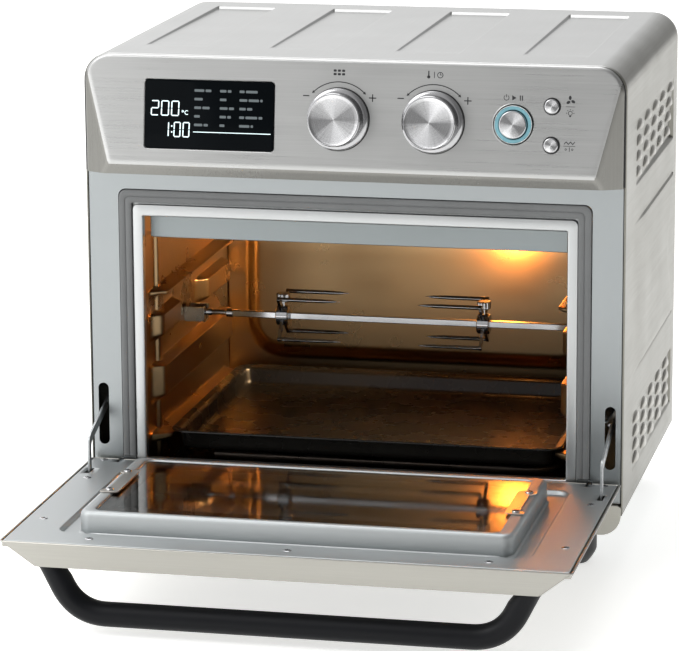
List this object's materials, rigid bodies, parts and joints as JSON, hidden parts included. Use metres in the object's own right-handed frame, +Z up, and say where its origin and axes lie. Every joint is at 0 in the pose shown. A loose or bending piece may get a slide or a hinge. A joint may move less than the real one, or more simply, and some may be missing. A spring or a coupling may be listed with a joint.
{
  "type": "air fryer oven",
  "caption": "Stainless air fryer oven with its glass door open, a rotisserie spit with forks, a baking pan, turning knobs and a display on a sloping panel.",
  "frame": {"origin": "on the floor under the middle of the bounding box, with the door open", "axes": "+Z up, the front with the door towards -Y, +X to the right as seen from the front"},
  "size_m": [0.41, 0.536, 0.383],
  "materials": {
    "brushed_steel": "brushed sideways, satin",
    "cavity_steel": "smooth rolled sheet",
    "galvanised_steel": "zinc coated, matt",
    "chrome": "polished plating",
    "grey_silicone": "matt",
    "black_plastic": "matt",
    "black_handle": "satin black",
    "tinted_glass": "clear, brown tinted",
    "display_glass": "glossy black",
    "lit_ring": "frosted, lit from behind",
    "black_enamel": "glossy enamel",
    "circuit_board": "solder mask",
    "heater_tube": "dark oxidised sheath"
  },
  "bodies": {
    "oven": {"base_pan": "brushed_steel", "cavity_back": "cavity_steel", "cavity_ceiling": "cavity_steel", "cavity_floor": "cavity_steel", "cavity_left_wall": "cavity_steel", "cavity_lip": "cavity_steel", "cavity_right_wall": "cavity_steel", "control_board": "circuit_board", "control_fascia": "brushed_steel", "cord_inlet": "black_plastic", "crumb_tray": "black_enamel", "display_window": "display_glass", "door_gasket": "grey_silicone", "fan_guard": "cavity_steel", "fan_motor": "galvanised_steel", "fan_shroud": "galvanised_steel", "foot_front_left": "black_plastic", "foot_front_right": "black_plastic", "foot_rear_left": "black_plastic", "foot_rear_right": "black_plastic", "front_frame": "brushed_steel", "function_encoder": "galvanised_steel", "heater_shield": "galvanised_steel", "hinge_bracket_left": "galvanised_steel", "hinge_bracket_right": "galvanised_steel", "hinge_spring_left": "galvanised_steel", "hinge_spring_right": "galvanised_steel", "lamp_bulb": "tinted_glass", "lamp_lens": "tinted_glass", "lower_heater": "heater_tube", "lower_trim": "brushed_steel", "outer_casing": "brushed_steel", "power_light_ring": "lit_ring", "rear_cover": "brushed_steel", "spit_bracket": "chrome", "spit_motor": "galvanised_steel", "temperature_encoder": "galvanised_steel", "upper_heater": "heater_tube"},
    "door": {"door_outer_shell": "brushed_steel", "door_inner_panel": "brushed_steel", "door_outer_glass": "tinted_glass", "door_inner_glass": "tinted_glass", "glass_clip_left": "brushed_steel", "glass_clip_right": "brushed_steel", "door_handle": "black_handle", "hinge_pin_left": "chrome", "hinge_pin_right": "chrome"},
    "arm_left": {"hinge_arm_left": "galvanised_steel"},
    "arm_right": {"hinge_arm_right": "galvanised_steel"},
    "function_knob": {"function_knob": "chrome"},
    "temperature_knob": {"temperature_knob": "chrome"},
    "power_button": {"power_button": "chrome"},
    "fan_button": {"fan_button": "chrome"},
    "light_button": {"light_button": "chrome"},
    "spit": {"rotisserie_spit": "chrome", "spit_fork_left": "chrome", "spit_fork_right": "chrome"},
    "spit_drive": {"spit_socket": "chrome"},
    "fan": {"convection_fan": "galvanised_steel"},
    "pan": {"baking_pan": "black_enamel"}
  },
  "joints": [
    {"name": "door_hinge", "type": "hinge", "parent": "oven", "child": "door", "pos_m": [0, -0.0401, 0.0641], "axis": [-1, 0, 0], "range_deg": [0, 90]},
    {"name": "arm_left_hinge", "type": "hinge", "parent": "door", "child": "arm_left", "pos_m": [-0.1955, -0.072, 0.0675], "axis": [-1, 0, 0], "range_deg": [-56, 0]},
    {"name": "arm_right_hinge", "type": "hinge", "parent": "door", "child": "arm_right", "pos_m": [0.1955, -0.072, 0.0675], "axis": [-1, 0, 0], "range_deg": [-56, 0]},
    {"name": "function_knob_turn", "type": "hinge", "parent": "oven", "child": "function_knob", "pos_m": [-0.0078, -0.04058, 0.3396], "axis": [0, -0.9918, 0.1274], "continuous": true},
    {"name": "temperature_knob_turn", "type": "hinge", "parent": "oven", "child": "temperature_knob", "pos_m": [0.0635, -0.04058, 0.3396], "axis": [0, -0.9918, 0.1274], "continuous": true},
    {"name": "power_button_press", "type": "slide", "parent": "oven", "child": "power_button", "axis": [0, 0.9918, -0.1274], "range_m": [0, 0.0015], "stiffness_N_per_m": 600, "springref_m": -0.0005},
    {"name": "fan_button_press", "type": "slide", "parent": "oven", "child": "fan_button", "axis": [0, 0.9918, -0.1274], "range_m": [0, 0.0015], "stiffness_N_per_m": 600, "springref_m": -0.0005},
    {"name": "light_button_press", "type": "slide", "parent": "oven", "child": "light_button", "axis": [0, 0.9918, -0.1274], "range_m": [0, 0.0015], "stiffness_N_per_m": 600, "springref_m": -0.0005},
    {"name": "spit_turn", "type": "hinge", "parent": "oven", "child": "spit", "pos_m": [0, 0.096, 0.158], "axis": [1, 0, 0], "continuous": true},
    {"name": "spit_drive_turn", "type": "hinge", "parent": "oven", "child": "spit_drive", "pos_m": [0.15, 0.096, 0.158], "axis": [1, 0, 0], "continuous": true},
    {"name": "fan_turn", "type": "hinge", "parent": "oven", "child": "fan", "pos_m": [0, 0.103, 0.285], "axis": [0, 0, 1], "continuous": true},
    {"name": "pan_slide", "type": "slide", "parent": "oven", "child": "pan", "axis": [0, 1, 0], "range_m": [-0.038, 0]}
  ],
  "couplings": [
    {"joint": "arm_left_hinge", "follows": "door_hinge", "ratio": -0.611},
    {"joint": "arm_right_hinge", "follows": "door_hinge", "ratio": -0.611},
    {"joint": "spit_drive_turn", "follows": "spit_turn", "ratio": 1}
  ]
}
